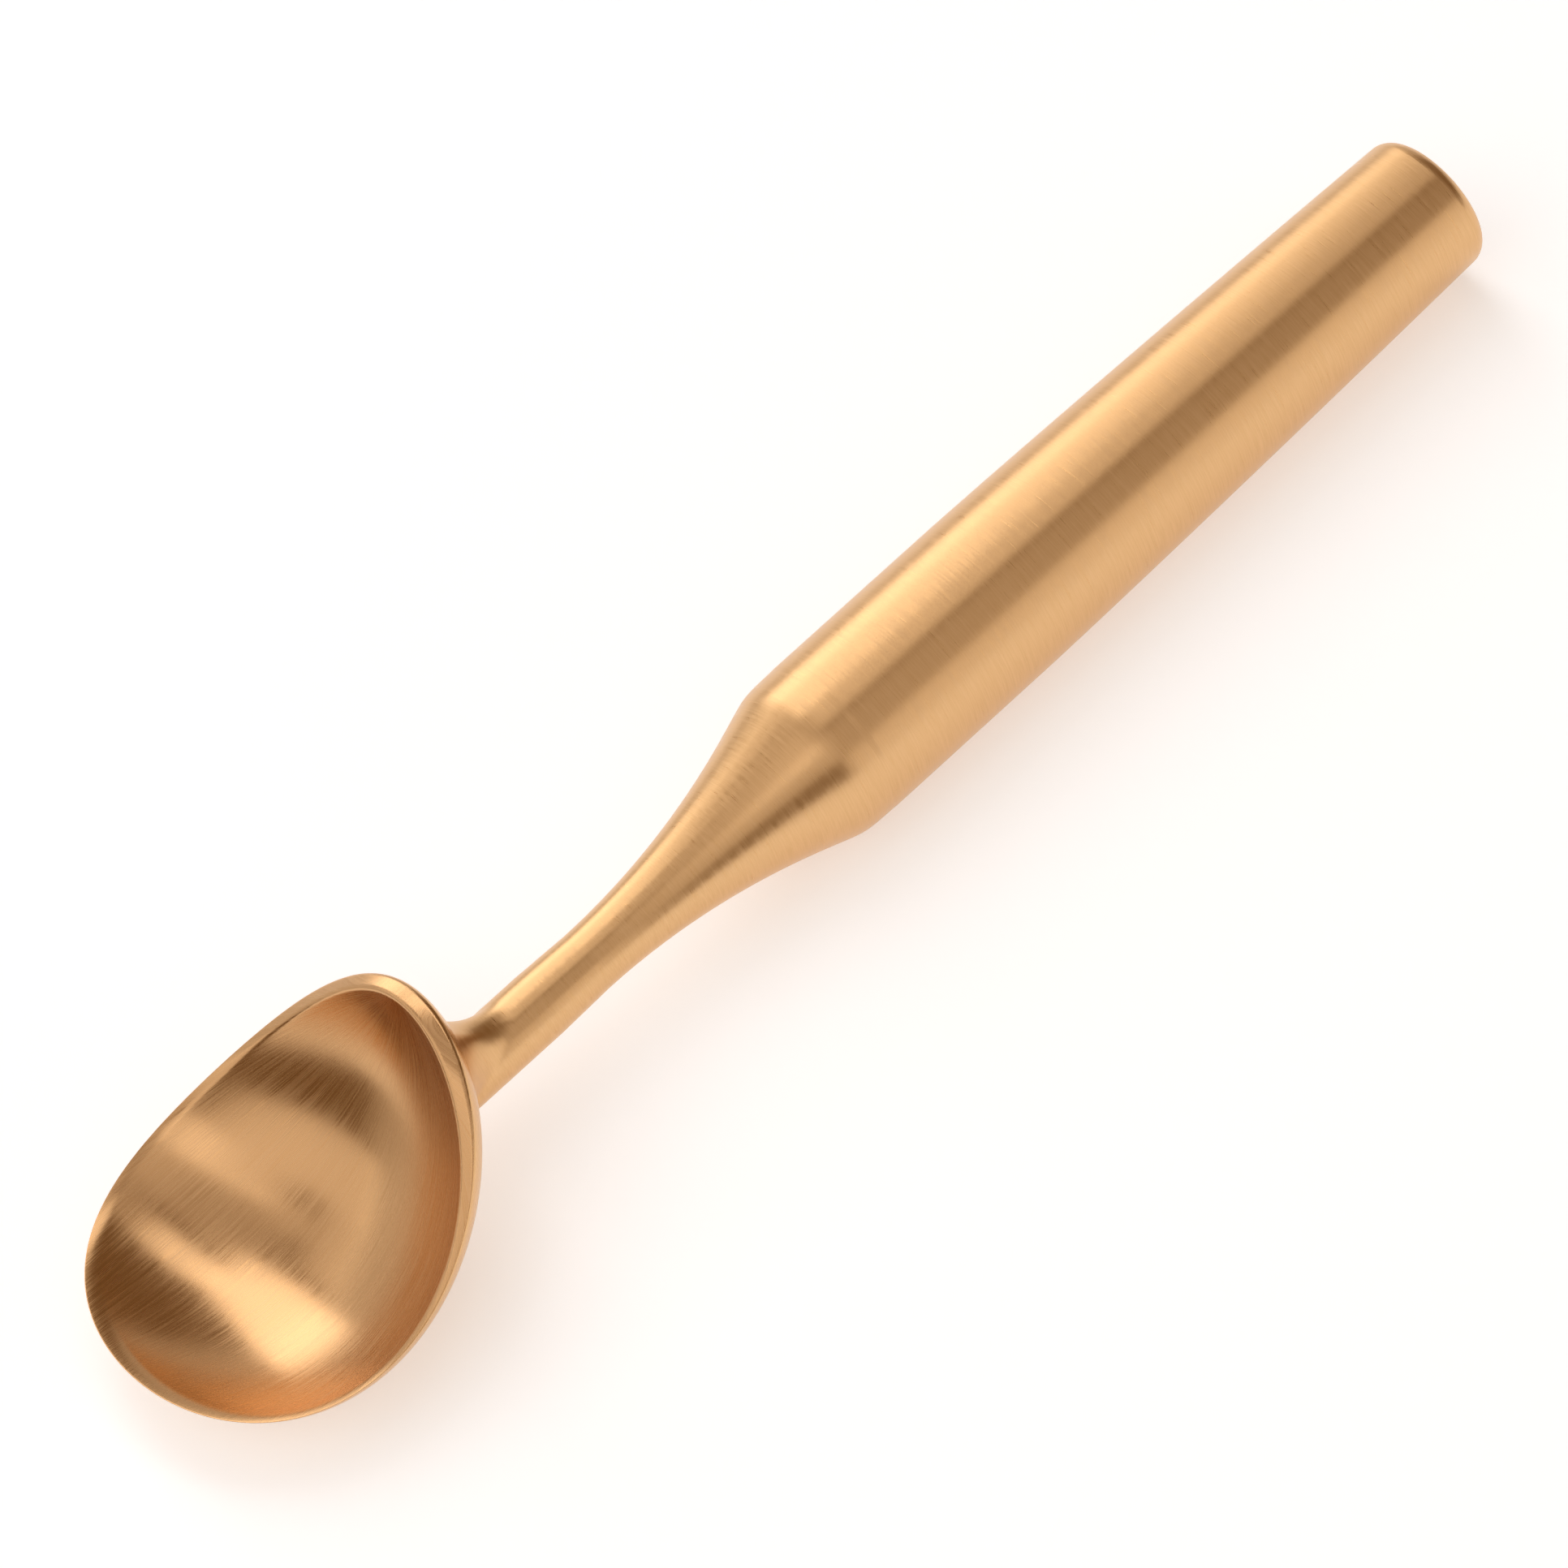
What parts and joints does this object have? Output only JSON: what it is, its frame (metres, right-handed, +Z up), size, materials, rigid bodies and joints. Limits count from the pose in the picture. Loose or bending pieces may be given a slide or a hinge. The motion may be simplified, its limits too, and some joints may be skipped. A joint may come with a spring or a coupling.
{
  "type": "ice cream scoop",
  "caption": "Fixed ice cream scoop in brushed gold-coloured metal, with a spherical bowl, a slim turned neck and a tapered round handle.",
  "frame": {"origin": "on the table under the middle of the scoop, which lies with its bowl open upwards", "axes": "+X along the handle from its rear end to the bowl's lip, +Y across the bowl, +Z up out of the bowl"},
  "size_m": [0.209, 0.0464, 0.0283],
  "materials": {
    "brushed_gold_bowl": "brushed",
    "brushed_gold_handle": "brushed"
  },
  "bodies": {
    "root": {"bowl": "brushed_gold_bowl", "bowl_weld": "brushed_gold_handle", "neck": "brushed_gold_handle", "shoulder_weld": "brushed_gold_handle", "handle_tube": "brushed_gold_handle", "cap_weld": "brushed_gold_handle", "end_cap": "brushed_gold_handle"}
  },
  "joints": []
}
